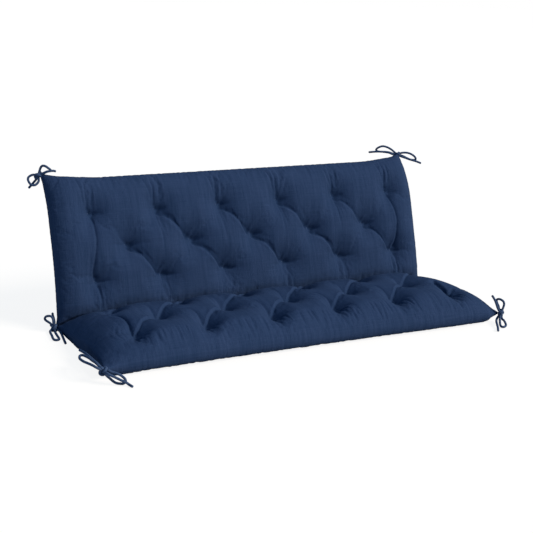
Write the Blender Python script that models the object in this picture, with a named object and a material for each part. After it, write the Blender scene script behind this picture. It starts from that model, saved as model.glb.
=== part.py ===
"""A tufted bench cushion: one filled mat with a seat half and a back half, and six ties.

X runs across the bench, -Y is its front and Z is up. All lengths are in metres. A place on the mat
is (u, t): u runs across it from its middle, and t runs along it from the fold, below zero on the
seat and above zero on the back.
"""
import math

import bmesh
import bpy
from mathutils import Vector

# The mat
WIDTH = 1.50
SEAT_DEPTH = 0.489
BACK_HEIGHT = 0.517
SEAT_CROWN = 0.056
BACK_CROWN = 0.054
UNDER_CROWN = 0.072
SEAM_THICKNESS = 0.006
FORWARD = 0.1479

# The tufts: rows of 6, 5 and 6 on each half
TUFT_PITCH = 0.244
ROW_PITCH = 0.115
SEAT_ROWS = (-0.371, -0.256, -0.141)
BACK_ROWS = (0.140, 0.255, 0.370)
TUFT_DEPTH = 0.66
TUFT_REACH = 0.036

# The heights of the middle layer of the seat: at its seams and inside them
FRONT_SEAM_HEIGHT = 0.036
FOLD_HEIGHT = 0.016
SIDE_SEAM_RISE = 0.020
SEAT_MIDDLE_HEIGHT = 0.060

# How far from a seam or from the fold the cloth takes to round up to the full thickness
SEAT_SIDE_REACH = 0.170
SEAT_SIDE_POWER = 1.5
SEAT_FRONT_REACH = 0.095
SEAT_FOLD_REACH = 0.200
UNDER_SIDE_REACH = 0.043
UNDER_FRONT_REACH = 0.170
BACK_SIDE_REACH = 0.085
BACK_TOP_REACH = 0.080
BACK_FOLD_REACH = 0.100

# The lean of the back, in radians, and how it grows with the height
LEAN_AT_FOLD = 0.197
LEAN_PER_METRE = 0.426
BEND_START = 0.356
BEND_PER_METRE = 2.725

# How far the edges draw in
SEAT_SIDE_PULL = 0.007
BACK_SIDE_PULL = 0.013
FOLD_END_PULL = 0.004
TOP_CORNER_PULL = 0.010
TOP_DIP = 0.017
EAR_LENGTH = 0.22

# The grid of the mat's two faces
CELLS_PER_HALF_PITCH = 5
MARGIN_SHARES = (0.0, 0.10, 0.24, 0.40, 0.58, 0.78, 1.0)
FOLD_SHARES = (0.0, 0.12, 0.26, 0.42, 0.60, 0.80, 1.0)

# The ties
CORD_DIAMETER = 0.0075
KNOT_RADIUS = 0.0125
KNOT_TO_SEAM = 0.0001
KNOT_TO_CORD = 0.0006
POINT_SPACING = 0.014

# Each tie: the end of the seam it is sewn to, the side of it on which its knot lies, then the routes
# of its loops and tails in millimetres from the knot's middle.
TIES = {
    "top_left": {
        "place": (-1, BACK_HEIGHT),
        "out": (-0.46, 0.25, 0.85),
        "loop_a": ((5, -2, 18), (8, -2, 26), (13, -6, 33), (21, -15, 33), (29, -20, 27),
                   (37, -19, 20), (38, -8, 14), (31, 1, 11), (19, 3, 6)),
        "tail_a": ((13, -16, 8), (22, -24, 15), (33, -29, 18), (43, -32, 19), (52, -35, 17)),
        "loop_b": ((-13, 14, 0), (-21, 18, -3), (-29, 17, -8), (-33, 11, -15), (-32, 1, -23),
                   (-27, -9, -30), (-17, -15, -30), (-8, -15, -24), (-2, -11, -16)),
        "tail_b": ((-5, 10, -16), (-13, 14, -27), (-22, 15, -37), (-31, 14, -46)),
    },
    "top_right": {
        "place": (1, BACK_HEIGHT),
        "out": (-0.17, 0.20, 0.96),
        "loop_a": ((-15, 7, 14), (-25, 13, 22), (-38, 21, 29), (-53, 29, 32), (-67, 36, 27),
                   (-74, 43, 18), (-67, 48, 10), (-53, 46, 7), (-36, 37, 7), (-22, 27, 6),
                   (-13, 17, 3)),
        "tail_a": ((-23, 2, 3), (-35, 7, 8), (-50, 17, 10), (-67, 26, 11), (-80, 35, 10),
                   (-94, 44, 8), (-105, 52, 6)),
        "loop_b": ((14, -10, 8), (25, -18, 10), (37, -27, 9), (50, -35, 3), (60, -41, -6),
                   (67, -37, -16), (65, -28, -20), (53, -19, -19), (39, -12, -13), (23, -5, -5)),
        "tail_b": ((8, -19, -5), (20, -29, -9), (33, -38, -14), (47, -45, -18), (61, -52, -22),
                   (78, -61, -29)),
    },
    "fold_left": {
        "place": (-1, 0.0),
        "out": (-0.97, -0.20, -0.16),
        "loop_a": ((-7, 12, 11), (-13, 16, 16), (-21, 21, 22), (-24, 22, 28), (-22, 18, 36),
                   (-15, 11, 40), (-8, 3, 40), (-4, -3, 33), (-3, -5, 21)),
        "tail_a": ((6, 13, 14), (5, 17, 27), (3, 20, 37), (2, 21, 47)),
        "loop_b": ((-16, -10, -8), (-22, -47, -9), (-27, -77, -9), (-27, -92, -9), (-19, -98, -9),
                   (-10, -90, -9), (-6, -53, -9), (-2, -19, -9)),
        "tail_b": ((13, -17, -7), (12, -44, -9), (3, -98, -9), (-4, -140, -9)),
    },
    "fold_right": {
        "place": (1, 0.0),
        "out": (0.97, -0.20, -0.16),
        "loop_a": ((14, 12, 0), (30, 26, -7), (42, 24, -9), (44, 8, -7), (26, 2, 4)),
        "tail_a": ((4, 18, 7), (12, 36, -2), (10, 62, -9)),
        "loop_b": ((17, -12, -3), (28, -36, -9), (26, -56, -9), (12, -60, -9), (4, -42, -9),
                   (2, -24, -5)),
        "tail_b": ((13, -14, 12), (36, -24, 2), (66, -28, -9)),
    },
    "front_left": {
        "place": (-1, -SEAT_DEPTH),
        "out": (-0.80, -0.55, 0.22),
        "loop_a": ((-11, 23, 16), (-14, 50, 15), (-16, 80, 14), (-19, 109, 11), (-23, 123, 9),
                   (-30, 123, 7), (-37, 101, 7), (-40, 58, 14), (-36, 28, 18), (-28, 9, 17),
                   (-20, -3, 13)),
        "tail_a": ((-1, 32, 6), (-1, 88, 4), (-2, 147, 2), (-4, 205, -5)),
        "loop_b": ((14, -13, 2), (19, -16, -1), (30, -20, -5), (40, -27, -8), (50, -32, -15),
                   (56, -38, -22), (57, -40, -29), (50, -41, -34), (41, -39, -34), (31, -32, -33),
                   (23, -27, -28), (15, -21, -20), (8, -13, -13)),
        "tail_b": ((6, -23, -2), (15, -31, -7), (27, -38, -13), (40, -46, -20), (55, -54, -28),
                   (62, -55, -34), (66, -76, -34)),
    },
    "front_right": {
        "place": (1, -SEAT_DEPTH),
        "out": (0.60, -0.80, -0.05),
        "loop_a": ((7, -1, 17), (8, -2, 23), (10, -2, 32), (8, 0, 42), (2, 5, 48), (-2, 15, 49),
                   (-3, 25, 43), (0, 24, 31), (2, 17, 20), (0, 12, 13)),
        "tail_a": ((-15, -2, 16), (-19, 4, 31), (-21, 11, 44), (-24, 19, 55), (-27, 26, 63)),
        "loop_b": ((-3, -14, -18), (-5, -25, -19), (-14, -45, -22), (-12, -47, -31),
                   (-31, -60, -30), (-38, -55, -30), (-29, -37, -31), (-25, -28, -20),
                   (-14, -14, -16)),
        "tail_b": ((-15, 0, -19), (-30, -15, -23), (-46, -39, -26), (-58, -58, -30), (-80, -86, -30)),
    },
}

# Colours (linear), roughness
NAVY_CLOTH = (0.022, 0.043, 0.105)
NAVY_CORD = (0.016, 0.032, 0.080)
CLOTH_ROUGHNESS = 0.85


def smooth(x):
    """0 below 0, 1 above 1 and a soft step between."""
    x = min(max(x, 0.0), 1.0)
    return x * x * (3 - 2 * x)


def rounded(distance, reach):
    """The height of a quarter ellipse at a distance from the edge where it starts."""
    return math.sqrt(max(0.0, 1 - (1 - min(max(distance, 0.0) / reach, 1.0)) ** 2))


def half_rows(rows):
    """The tufts of one half as (u, t): the rows of 6, of 5 and of 6."""
    places = []
    for index, t in enumerate(rows):
        count = 5 if index == 1 else 6
        places.append([((i - (count - 1) / 2) * TUFT_PITCH, t) for i in range(count)])
    return places


def crease_lines(rows):
    """The creases between neighbouring tufts of one half, as ((u, t), (u, t), depth)."""
    first, middle, last = half_rows(rows)
    lines = []
    for i, tuft in enumerate(middle):
        lines.append((first[i], tuft, 0.13))
        lines.append((first[i + 1], tuft, 0.20))
        lines.append((tuft, last[i], 0.20))
        lines.append((tuft, last[i + 1], 0.13))
    lines.append((first[0], last[0], 0.14))
    lines.append((first[5], last[5], 0.14))
    return lines


TUFTS = [tuft for rows in (SEAT_ROWS, BACK_ROWS) for row in half_rows(rows) for tuft in row]
CREASES = crease_lines(SEAT_ROWS) + crease_lines(BACK_ROWS)
CREASE_WIDTH = 0.022


def line_distance(u, t, start, end):
    """The distance of a place from a crease line."""
    du, dt = end[0] - start[0], end[1] - start[1]
    share = ((u - start[0]) * du + (t - start[1]) * dt) / (du * du + dt * dt)
    share = min(max(share, 0.0), 1.0)
    return math.hypot(u - start[0] - share * du, t - start[1] - share * dt)


def edge_pleats(u, t):
    """How far the pleats that run from the outer tufts to the seams press the filling down."""
    press = 0.0
    beyond = max(t - BACK_ROWS[2], SEAT_ROWS[0] - t)
    near_fold = min(t - SEAT_ROWS[2], BACK_ROWS[0] - t)
    along = smooth(max(beyond, near_fold) / 0.02 + 0.5)
    for i in range(6):
        middle = (i - 2.5) * TUFT_PITCH
        press += 0.13 * along * math.exp(-((u - middle) / 0.026) ** 2)
    return press


def fullness(u, t):
    """The share of the crown's thickness that the stitches leave at a place on the mat."""
    share = 1.0
    for tuft_u, tuft_t in TUFTS:
        distance = math.hypot(u - tuft_u, t - tuft_t)
        share *= 1 - TUFT_DEPTH * math.exp(-distance / TUFT_REACH)
    for start, end, depth in CREASES:
        share *= 1 - depth * math.exp(-((line_distance(u, t, start, end) / CREASE_WIDTH) ** 2))
    return share * (1 - edge_pleats(u, t))


def half_thickness(u, t, face):
    """Half the mat's thickness: full inside, and rounded down to its seams and to its fold."""
    inside = WIDTH / 2 - abs(u)
    if t >= 0:
        crown, fold = BACK_CROWN, rounded(t, BACK_FOLD_REACH)
        edges = rounded(inside, BACK_SIDE_REACH) * rounded(BACK_HEIGHT - t, BACK_TOP_REACH)
    elif face > 0:
        crown, fold = SEAT_CROWN, rounded(-t, SEAT_FOLD_REACH)
        edges = rounded(inside, SEAT_SIDE_REACH) ** SEAT_SIDE_POWER
        edges *= rounded(t + SEAT_DEPTH, SEAT_FRONT_REACH)
    else:
        crown, fold = UNDER_CROWN, rounded(-t, SEAT_FOLD_REACH)
        edges = rounded(inside, UNDER_SIDE_REACH) * rounded(t + SEAT_DEPTH, UNDER_FRONT_REACH)
    return crown * edges * min(0.5 * SEAM_THICKNESS / crown + fold, 1.0) * fullness(u, t)


def drawn_in(u, t):
    """The place on the mat once its edges are drawn in and its top corners stand up as ears."""
    last_u, last_t = 2.5 * TUFT_PITCH, BACK_ROWS[2]
    if t < 0:
        width = WIDTH / 2 - SEAT_SIDE_PULL * math.sin(math.pi * t / -SEAT_DEPTH) ** 0.7
        width -= FOLD_END_PULL * smooth(1 + t / 0.2)
    else:
        share = t / BACK_HEIGHT
        width = WIDTH / 2 - FOLD_END_PULL - BACK_SIDE_PULL * math.sin(math.pi * share) ** 0.7
        width -= (TOP_CORNER_PULL - FOLD_END_PULL) * smooth((share - 0.6) / 0.4)
    if abs(u) > last_u:
        share = (abs(u) - last_u) / (WIDTH / 2 - last_u)
        u = math.copysign(last_u + share * (width - last_u), u)
    if t > last_t:
        top = BACK_HEIGHT - TOP_DIP * (1 - smooth((abs(u) - WIDTH / 2 + EAR_LENGTH) / EAR_LENGTH))
        t = last_t + (t - last_t) * (top - last_t) / (BACK_HEIGHT - last_t)
    return u, t


def back_line(t):
    """The back's middle layer as (y, z, lean) at a length above the fold."""
    steps = 24
    y, z = 0.0, FOLD_HEIGHT
    for i in range(steps):
        at = (i + 0.5) * t / steps
        lean = LEAN_AT_FOLD + LEAN_PER_METRE * at + BEND_PER_METRE * max(0.0, at - BEND_START)
        y += math.sin(lean) * t / steps
        z += math.cos(lean) * t / steps
    return y, z, LEAN_AT_FOLD + LEAN_PER_METRE * t + BEND_PER_METRE * max(0.0, t - BEND_START)


def seat_height(u, t):
    """The height of the seat's middle layer, low at its seams and at the fold."""
    share = -t / SEAT_DEPTH
    seam = FOLD_HEIGHT + (FRONT_SEAM_HEIGHT - FOLD_HEIGHT) * share
    seam += SIDE_SEAM_RISE * math.sin(math.pi * share ** 1.6)
    ends = smooth((t + SEAT_DEPTH) / SEAT_FRONT_REACH) * smooth(-t / SEAT_FOLD_REACH)
    inside = smooth((WIDTH / 2 - abs(u)) / SEAT_SIDE_REACH) * ends
    return seam + (SEAT_MIDDLE_HEIGHT - seam) * inside


# Where the seat's bulge and the back's press together, they stay on their own sides of a plane
# that halves the angle between them.
HALVING_SLOPE = math.tan((math.pi / 2 + LEAN_AT_FOLD) / 2)
PRESS_GAP = 0.0006


def mat_point(u, t, face):
    """A point of the mat's upper (face 1) or lower (face -1) cloth."""
    thickness = half_thickness(u, t, face) * face
    u, t = drawn_in(u, t)
    if t < 0:
        z = seat_height(u, t) + thickness
        z = min(z, FOLD_HEIGHT + HALVING_SLOPE * -t - PRESS_GAP) if face > 0 else max(z, 0.0)
        return Vector((u, t + FORWARD, z))
    y, z, lean = back_line(t)
    y -= thickness * math.cos(lean)
    z += thickness * math.sin(lean)
    if t > 0 and face > 0:
        y = max(y, -(z - FOLD_HEIGHT - PRESS_GAP) / HALVING_SLOPE)
    return Vector((u, y + FORWARD, z))


def stations(start, end, shares):
    """Positions between two values at the given shares of the way, without the last."""
    return [start + (end - start) * share for share in shares[:-1]]


def outward(shares):
    return [1 - share for share in reversed(shares)]


def u_stations():
    edge, last = WIDTH / 2, 2.5 * TUFT_PITCH
    even = [i / CELLS_PER_HALF_PITCH for i in range(CELLS_PER_HALF_PITCH + 1)]
    places = stations(-edge, -last, MARGIN_SHARES)
    for i in range(10):
        places += stations(-last + i * TUFT_PITCH / 2, -last + (i + 1) * TUFT_PITCH / 2, even)
    return places + stations(last, edge, outward(MARGIN_SHARES)) + [edge]


def t_stations():
    even = [i / CELLS_PER_HALF_PITCH for i in range(CELLS_PER_HALF_PITCH + 1)]
    places = stations(-SEAT_DEPTH, SEAT_ROWS[0], MARGIN_SHARES)
    places += stations(SEAT_ROWS[0], SEAT_ROWS[1], even)
    places += stations(SEAT_ROWS[1], SEAT_ROWS[2], even)
    places += stations(SEAT_ROWS[2], 0.0, outward(FOLD_SHARES))
    places += stations(0.0, BACK_ROWS[0], FOLD_SHARES)
    places += stations(BACK_ROWS[0], BACK_ROWS[1], even)
    places += stations(BACK_ROWS[1], BACK_ROWS[2], even)
    return places + stations(BACK_ROWS[2], BACK_HEIGHT, outward(MARGIN_SHARES)) + [BACK_HEIGHT]


def material(name, colour, roughness):
    made = bpy.data.materials.new(name)
    made.use_nodes = True
    shader = made.node_tree.nodes["Principled BSDF"]
    shader.inputs["Base Color"].default_value = (*colour, 1.0)
    shader.inputs["Roughness"].default_value = roughness
    shader.inputs["Metallic"].default_value = 0.0
    return made


def add_object(name, data, look):
    data.materials.append(look)
    made = bpy.data.objects.new(name, data)
    bpy.context.scene.collection.objects.link(made)
    return made


def leans_right(u, t):
    """Whether the cell at a place is split from its low u and low t to its high u and high t.

    Inside, the split follows the creases. Past the last tufts it runs in from the mat's corners.
    """
    if abs(u) > 2.5 * TUFT_PITCH:
        return (u < 0) == (t < 0)
    column = math.floor((u + 2.5 * TUFT_PITCH) / (TUFT_PITCH / 2))
    first = SEAT_ROWS[0] if t < 0 else BACK_ROWS[0]
    row = math.floor((t - first) / ROW_PITCH)
    return (column + row) % 2 == 0


def add_cushion(look):
    """Two grids of cloth, sewn together along their rims, shaped by mat_point."""
    across, along = u_stations(), t_stations()
    mesh = bpy.data.meshes.new("cushion")
    form = bmesh.new()
    for face in (1, -1):
        made = bmesh.ops.create_grid(
            form, x_segments=len(across) - 1, y_segments=len(along) - 1, size=0.5
        )["verts"]
        places = {}
        for vertex in made:
            i = round((vertex.co.x + 0.5) * (len(across) - 1))
            j = round((vertex.co.y + 0.5) * (len(along) - 1))
            places[vertex] = (across[i], along[j])
        quads = {quad for vertex in made for quad in vertex.link_faces}
        for quad in quads:
            corners = sorted(quad.verts, key=lambda v: (places[v][0], places[v][1]))
            low_low, low_high, high_low, high_high = corners
            middle_u = (places[low_low][0] + places[high_high][0]) / 2
            middle_t = (places[low_low][1] + places[high_high][1]) / 2
            ends = (low_low, high_high) if leans_right(middle_u, middle_t) else (low_high, high_low)
            bmesh.utils.face_split(quad, *ends)
        for vertex, place in places.items():
            vertex.co = mat_point(*place, face)
        if face < 0:
            bmesh.ops.reverse_faces(form, faces=[f for f in form.faces if f.verts[0] in places])
    bmesh.ops.remove_doubles(form, verts=form.verts, dist=0.00002)
    form.to_mesh(mesh)
    form.free()
    mesh.shade_smooth()
    return add_object("cushion", mesh, look)


def curve_through(route, spacing):
    """Evenly spaced points of a smooth curve through the points of a route."""
    ends = [2 * route[0] - route[1], *route, 2 * route[-1] - route[-2]]
    fine = []
    for i in range(1, len(ends) - 2):
        before, start, end, after = ends[i - 1 : i + 3]
        for step in range(16):
            s = step / 16
            fine.append(
                0.5 * (2 * start + (end - before) * s
                       + (2 * before - 5 * start + 4 * end - after) * s * s
                       + (3 * start - before - 3 * end + after) * s ** 3)
            )
    fine.append(route[-1])
    lengths = [0.0]
    for a, b in zip(fine, fine[1:]):
        lengths.append(lengths[-1] + (b - a).length)
    count = max(3, round(lengths[-1] / spacing))
    points, at = [], 0
    for i in range(count + 1):
        wanted = lengths[-1] * i / count
        while at < len(fine) - 2 and lengths[at + 1] < wanted:
            at += 1
        share = (wanted - lengths[at]) / max(lengths[at + 1] - lengths[at], 1e-9)
        points.append(fine[at].lerp(fine[at + 1], min(max(share, 0.0), 1.0)))
    return points


def add_tube(name, points, look):
    curve = bpy.data.curves.new(name, "CURVE")
    curve.dimensions = "3D"
    curve.bevel_depth = CORD_DIAMETER / 2
    curve.bevel_resolution = 2
    curve.use_fill_caps = True
    spline = curve.splines.new("POLY")
    spline.points.add(len(points) - 1)
    for slot, point in zip(spline.points, points):
        slot.co = (*point, 1.0)
    return add_object(name, curve, look)


def add_knot(name, middle, look):
    mesh = bpy.data.meshes.new(name)
    form = bmesh.new()
    bmesh.ops.create_uvsphere(form, u_segments=12, v_segments=8, radius=KNOT_RADIUS)
    bmesh.ops.translate(form, verts=form.verts, vec=middle)
    form.to_mesh(mesh)
    form.free()
    mesh.shade_smooth()
    return add_object(name, mesh, look)


def leave_knot(middle, towards):
    """Where a cord starts, just outside the knot on the side of its next point."""
    return middle + (towards - middle).normalized() * (KNOT_RADIUS + KNOT_TO_CORD)


def add_tie(name, tie, look):
    side, t = tie["place"]
    corner = mat_point(side * WIDTH / 2, t, 1)
    middle = corner + Vector(tie["out"]).normalized() * (KNOT_RADIUS + KNOT_TO_SEAM)
    add_knot(f"tie_{name}_knot", middle, look)
    for piece in ("loop_a", "tail_a", "loop_b", "tail_b"):
        route = [middle + Vector(point) / 1000 for point in tie[piece]]
        route.insert(0, leave_knot(middle, route[0]))
        if piece.startswith("loop"):
            route.append(leave_knot(middle, route[-1]))
        add_tube(f"tie_{name}_{piece}", curve_through(route, POINT_SPACING), look)


def main():
    for old in list(bpy.data.objects):
        bpy.data.objects.remove(old, do_unlink=True)
    cloth = material("navy_cloth", NAVY_CLOTH, CLOTH_ROUGHNESS)
    cord = material("navy_cord", NAVY_CORD, CLOTH_ROUGHNESS)
    add_cushion(cloth)
    for name, tie in TIES.items():
        add_tie(name, tie, cord)


main()
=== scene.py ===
"""The looks of a tufted bench cushion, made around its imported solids.

All lengths are in metres. A place on the mat is (u, t): u runs across it from its middle, and t
runs along it from the fold, below zero on the seat and above zero on the back.
"""
import math

import bmesh
import bpy
import numpy as np
from mathutils import Matrix, Vector


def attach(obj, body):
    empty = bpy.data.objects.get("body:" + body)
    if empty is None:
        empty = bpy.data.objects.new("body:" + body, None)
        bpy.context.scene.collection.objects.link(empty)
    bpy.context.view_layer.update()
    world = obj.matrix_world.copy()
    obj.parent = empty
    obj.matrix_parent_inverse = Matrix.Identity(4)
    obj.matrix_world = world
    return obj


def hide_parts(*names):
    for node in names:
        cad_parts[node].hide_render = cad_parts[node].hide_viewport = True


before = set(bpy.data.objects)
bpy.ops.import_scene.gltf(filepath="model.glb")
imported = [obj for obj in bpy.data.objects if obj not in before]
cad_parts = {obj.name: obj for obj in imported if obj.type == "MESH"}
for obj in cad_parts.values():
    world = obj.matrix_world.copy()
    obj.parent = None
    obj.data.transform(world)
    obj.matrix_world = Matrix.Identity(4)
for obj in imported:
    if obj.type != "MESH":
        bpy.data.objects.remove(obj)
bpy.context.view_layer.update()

# The camera at the photograph's angle
CAMERA_AZIMUTH = math.radians(-28.602)
CAMERA_ELEVATION = math.radians(15.739)
CAMERA_ROLL = math.radians(2.244)
CAMERA_DISTANCE = 3.921
CAMERA_AIM = Vector((0.052, 0.1479, 0.148))
CAMERA_LENS = 71.55

# The mat's sizes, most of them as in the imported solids. A reach is how far from an edge the cloth
# goes on rising, and a pull is how far an edge is drawn in.
WIDTH = 1.50
SEAT_DEPTH = 0.489
BACK_HEIGHT = 0.517
SEAT_CROWN = 0.056
BACK_CROWN = 0.054
UNDER_CROWN = 0.072
SEAM_THICKNESS = 0.006
FOLD_Y = 0.1479
FOLD_HEIGHT = 0.016
TUFT_PITCH = 0.244
SEAT_ROWS = (-0.371, -0.256, -0.141)
BACK_ROWS = (0.140, 0.255, 0.370)
FRONT_SEAM_HEIGHT = 0.036
SIDE_SEAM_RISE = 0.020
SIDE_SEAM_POWER = 1.6
SEAT_MIDDLE_HEIGHT = 0.060
SEAT_SIDE_REACH = 0.170
SEAT_SIDE_POWER = 1.5
SEAT_FRONT_REACH = 0.095
SEAT_FOLD_REACH = 0.200
UNDER_SIDE_REACH = 0.043
UNDER_FRONT_REACH = 0.170
BACK_SIDE_REACH = 0.085
BACK_TOP_REACH = 0.080
BACK_FOLD_REACH = 0.100
LEAN_AT_FOLD = 0.197
LEAN_PER_METRE = 0.426
LEAN_STEPS = 24
BEND_START = 0.356
BEND_PER_METRE = 2.725
SEAT_SIDE_PULL = 0.007
BACK_SIDE_PULL = 0.007
SIDE_PULL_POWER = 0.7
FOLD_END_PULL = 0.004
FOLD_END_LENGTH = 0.2
TOP_CORNER_PULL = 0.010
TOP_CORNER_SHARE = 0.4
TOP_DIP = 0.017
EAR_LENGTH = 0.22

# The plane that halves the angle between seat and back, and the gap that each keeps from it
HALVING_SLOPE = math.tan((math.pi / 2 + LEAN_AT_FOLD) / 2)
PRESS_GAP = 0.0006

# The hollows at the tufts. The sides are how steep they are to the left and to the right.
TUFT_DEPTH = 0.66
SEAT_HOLLOW_SIDES = (2.0, 0.95)
BACK_HOLLOW_SIDES = (1.3, 0.86)
HOLLOW_POINT = 0.017
HOLLOW_REACH = 0.050

# The dips round the seat's tufts, row by row from its front, and the saddles in its front roll
DIP_DEPTHS = (0.006, 0.009, 0.005)
DIP_SIDES = (2.8, 0.95)
DIP_REACH = 0.036
DIP_POWER = 1.5
SADDLE_DEPTH = 0.016
LAST_SADDLE_DEPTH = 0.020
SADDLE_PLACE = (-0.020, -0.042)
SADDLE_REACH = 0.041
SEAM_FADE = 0.05

# The fuller left end of the seat's fold, the sag at its right end and the bow of its front edge.
# A span is where a form begins and where it is full.
LEFT_FILL = 0.09
LEFT_FILL_LENGTH = 0.16
SAG_DEPTH = 0.013
SAG_SPAN = (0.56, 0.64)
SAG_ROW = -0.13
SAG_REACH = 0.09
FRONT_BOW = 0.008
FRONT_BOW_SPAN = (-0.40, 0.20)
FRONT_BULGE = 0.014
FRONT_BULGE_SPAN = (0.08, 0.64)
FRONT_CORNER_LENGTH = 0.06
FRONT_BOW_REACH = 0.12

# The lift of the top corners, and the tips of cloth that reach out to the knots
CORNER_LIFT = 0.009
CORNER_REACH = 0.07
TIP_LENGTH = 0.006
TIP_REACH = 0.022

# The ties
CORD_DIAMETER = 0.0083
KNOT_RADIUS = 0.0125
KNOT_TO_SEAM = 0.0001

# Each tie: the end of the seam it is sewn to, the side of it on which its knot lies, then the
# routes of its loops and tails in millimetres from the knot's middle.
TIES = {
    "top_left": {
        "place": (-1, BACK_HEIGHT), "out": (-0.46, 0.25, 0.85),
        "loop_a": ((5, -2, 18), (8, -2, 26), (13, -6, 33), (21, -15, 33), (29, -20, 27),
            (37, -19, 20), (38, -8, 14), (31, 1, 11), (19, 3, 6)),
        "tail_a": ((13, -16, 8), (22, -24, 15), (33, -29, 18), (43, -32, 19), (52, -35, 17)),
        "loop_b": ((-13, 14, 0), (-21, 18, -3), (-29, 17, -8), (-33, 11, -15), (-32, 1, -23),
            (-27, -9, -30), (-17, -15, -30), (-8, -15, -24), (-2, -11, -16)),
        "tail_b": ((-5, 10, -16), (-13, 14, -27), (-22, 15, -37), (-31, 14, -46)),
    },
    "top_right": {
        "place": (1, BACK_HEIGHT), "out": (-0.17, 0.20, 0.96),
        "loop_a": ((-15, 7, 14), (-25, 13, 22), (-38, 21, 29), (-53, 29, 32), (-67, 36, 27),
            (-74, 43, 18), (-67, 48, 10), (-53, 46, 7), (-36, 37, 7), (-22, 27, 6), (-13, 17, 3)),
        "tail_a": ((-23, 2, 3), (-35, 7, 8), (-50, 17, 10), (-67, 26, 11), (-80, 35, 10),
            (-94, 44, 8), (-105, 52, 6)),
        "loop_b": ((14, -10, 8), (25, -18, 10), (37, -27, 9), (50, -35, 3), (60, -41, -6),
            (67, -37, -16), (65, -28, -20), (53, -19, -19), (39, -12, -13), (23, -5, -5)),
        "tail_b": ((8, -19, -5), (20, -29, -9), (33, -38, -14), (47, -45, -18), (61, -52, -22),
            (78, -61, -29)),
    },
    "fold_left": {
        "place": (-1, 0.0), "out": (-0.97, -0.20, -0.16),
        "loop_a": ((-7, 12, 11), (-13, 16, 16), (-21, 21, 22), (-24, 22, 28), (-22, 18, 36),
            (-15, 11, 40), (-8, 3, 40), (-4, -3, 33), (-3, -5, 21)),
        "tail_a": ((6, 13, 14), (5, 17, 27), (3, 20, 37), (2, 21, 47)),
        "loop_b": ((-16, -10, -8), (-22, -47, -9), (-27, -77, -9), (-27, -92, -9), (-19, -98, -9),
            (-10, -90, -9), (-6, -53, -9), (-2, -19, -9)),
        "tail_b": ((13, -17, -7), (12, -44, -9), (3, -98, -9), (-4, -140, -9)),
    },
    "fold_right": {
        "place": (1, 0.0), "out": (0.97, -0.20, -0.16),
        "loop_a": ((14, 12, 0), (30, 26, -7), (42, 24, -9), (44, 8, -7), (26, 2, 4)),
        "tail_a": ((4, 18, 7), (12, 36, -2), (10, 62, -9)),
        "loop_b": ((17, -12, -3), (28, -36, -9), (26, -56, -9), (12, -60, -9), (4, -42, -9),
            (2, -24, -5)),
        "tail_b": ((13, -14, 12), (36, -24, 2), (66, -28, -9)),
    },
    "front_left": {
        "place": (-1, -SEAT_DEPTH), "out": (-0.80, -0.55, 0.22),
        "loop_a": ((-11, 23, 16), (-14, 50, 15), (-16, 80, 14), (-19, 109, 11), (-23, 123, 9),
            (-30, 123, 7), (-37, 101, 7), (-40, 58, 14), (-36, 28, 18), (-28, 9, 17),
            (-20, -3, 13)),
        "tail_a": ((-1, 32, 6), (-1, 88, 4), (-2, 147, 2), (-4, 205, -5)),
        "loop_b": ((14, -13, 2), (19, -16, -1), (30, -20, -5), (40, -27, -8), (50, -32, -15),
            (56, -38, -22), (57, -40, -29), (50, -41, -34), (41, -39, -34), (31, -32, -33),
            (23, -27, -28), (15, -21, -20), (8, -13, -13)),
        "tail_b": ((6, -23, -2), (15, -31, -7), (27, -38, -13), (40, -46, -20), (55, -54, -28),
            (62, -55, -34), (66, -76, -34)),
    },
    "front_right": {
        "place": (1, -SEAT_DEPTH), "out": (0.60, -0.80, -0.05),
        "loop_a": ((7, -1, 17), (8, -2, 23), (10, -2, 32), (8, 0, 42), (2, 5, 48), (-2, 15, 49),
            (-3, 25, 43), (0, 24, 31), (2, 17, 20), (0, 12, 13)),
        "tail_a": ((-15, -2, 16), (-19, 4, 31), (-21, 11, 44), (-24, 19, 55), (-27, 26, 63)),
        "loop_b": ((-3, -14, -18), (-5, -25, -19), (-14, -45, -22), (-12, -47, -31),
            (-31, -60, -30), (-38, -55, -30), (-29, -37, -31), (-25, -28, -20), (-14, -14, -16)),
        "tail_b": ((-15, 0, -19), (-30, -15, -23), (-46, -39, -26), (-58, -58, -30),
            (-80, -86, -30)),
    },
}


def vector(values):
    return np.array(values, float)


def unit(values):
    """The direction of a vector, or of each vector in an array."""
    values = vector(values)
    return values / np.maximum(np.linalg.norm(values, axis=-1, keepdims=True), 1e-9)


def smooth(x):
    """0 below 0, 1 above 1 and a soft step between."""
    x = np.clip(x, 0.0, 1.0)
    return x * x * (3 - 2 * x)


def ramp(x, low, high):
    """A soft step from 0 at low to 1 at high."""
    return smooth((x - low) / (high - low))


def rounded(distance, reach):
    """The height of a quarter ellipse at a distance from the edge where it starts."""
    share = 1 - np.clip(distance / reach, 0.0, 1.0)
    return np.sqrt(np.maximum(0.0, 1 - share * share))


def on_curve(before, start, end, after, s):
    """The value at a share s of the way from start to end, on a smooth curve through all four."""
    return 0.5 * (2 * start + (end - before) * s
                  + (2 * before - 5 * start + 4 * end - after) * s * s
                  + (3 * start - before - 3 * end + after) * s ** 3)


def smooth_path(points, steps):
    """More points along a path, on a smooth curve through its own."""
    points = vector(points)
    ends = np.vstack([2 * points[0] - points[1], points, 2 * points[-1] - points[-2]])
    fine = [on_curve(*four, step / steps)
            for four in zip(ends, ends[1:], ends[2:], ends[3:]) for step in range(steps)]
    return np.array(fine + [points[-1]])


def new_object(name, data):
    made = bpy.data.objects.new(name, data)
    bpy.context.scene.collection.objects.link(made)
    return made


def mesh_of(form, name):
    """A mesh made from a bmesh, which is freed."""
    mesh = bpy.data.meshes.new(name)
    form.to_mesh(mesh)
    form.free()
    return mesh


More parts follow.
